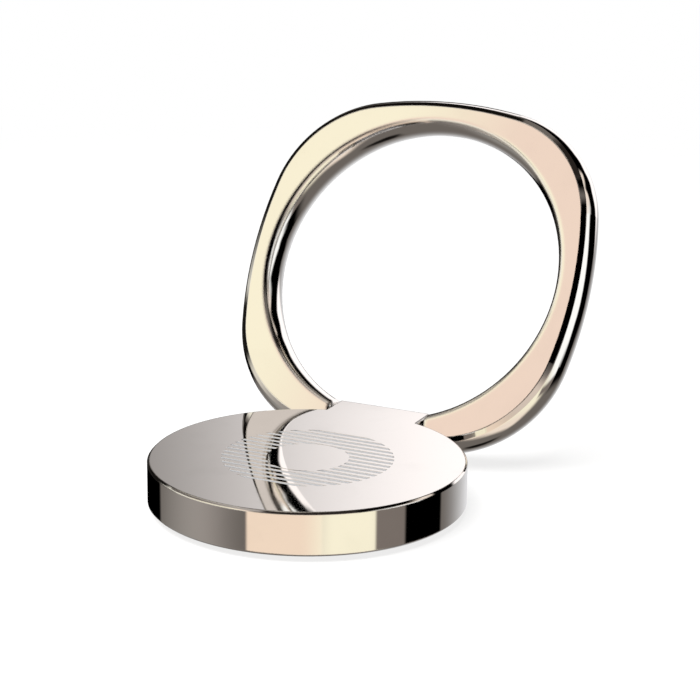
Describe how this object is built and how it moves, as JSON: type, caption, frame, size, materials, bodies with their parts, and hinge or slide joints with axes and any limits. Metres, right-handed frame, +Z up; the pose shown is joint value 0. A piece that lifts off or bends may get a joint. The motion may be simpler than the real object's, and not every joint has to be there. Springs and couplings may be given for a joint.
{
  "type": "phone ring holder",
  "caption": "Slim phone ring holder: a polished round turntable on an adhesive base, with a hinged rounded-square finger ring that swings up as a grip or stand.",
  "frame": {"origin": "centre of the adhesive pad's underside, on the turntable's axis of rotation", "axes": "+Z up out of the phone's back, +Y towards the hinge, +X along the hinge's axis"},
  "size_m": [0.037, 0.0503, 0.0333],
  "materials": {
    "polished_alloy": "mirror-polished zinc alloy with a pale champagne plating",
    "steel": "plain bright steel",
    "nylon": "natural white nylon",
    "foam_tape": "matte black foam tape"
  },
  "bodies": {
    "base": {"base_plate": "steel", "adhesive_pad": "foam_tape"},
    "turntable": {"turntable": "polished_alloy", "pivot_screw": "steel", "disc_spring": "steel", "thrust_washer": "nylon", "glide_ring": "nylon", "friction_sleeve": "steel"},
    "ring": {"ring": "polished_alloy", "hinge_pin": "steel"}
  },
  "joints": [
    {"name": "swivel", "type": "hinge", "parent": "base", "child": "turntable", "pos_m": [0, 0, 0], "axis": [0, 0, 1], "continuous": true},
    {"name": "ring_hinge", "type": "hinge", "parent": "turntable", "child": "ring", "pos_m": [0, 0.0165, 0.00258], "axis": [-1, 0, 0], "range_deg": [-120, 60]}
  ]
}
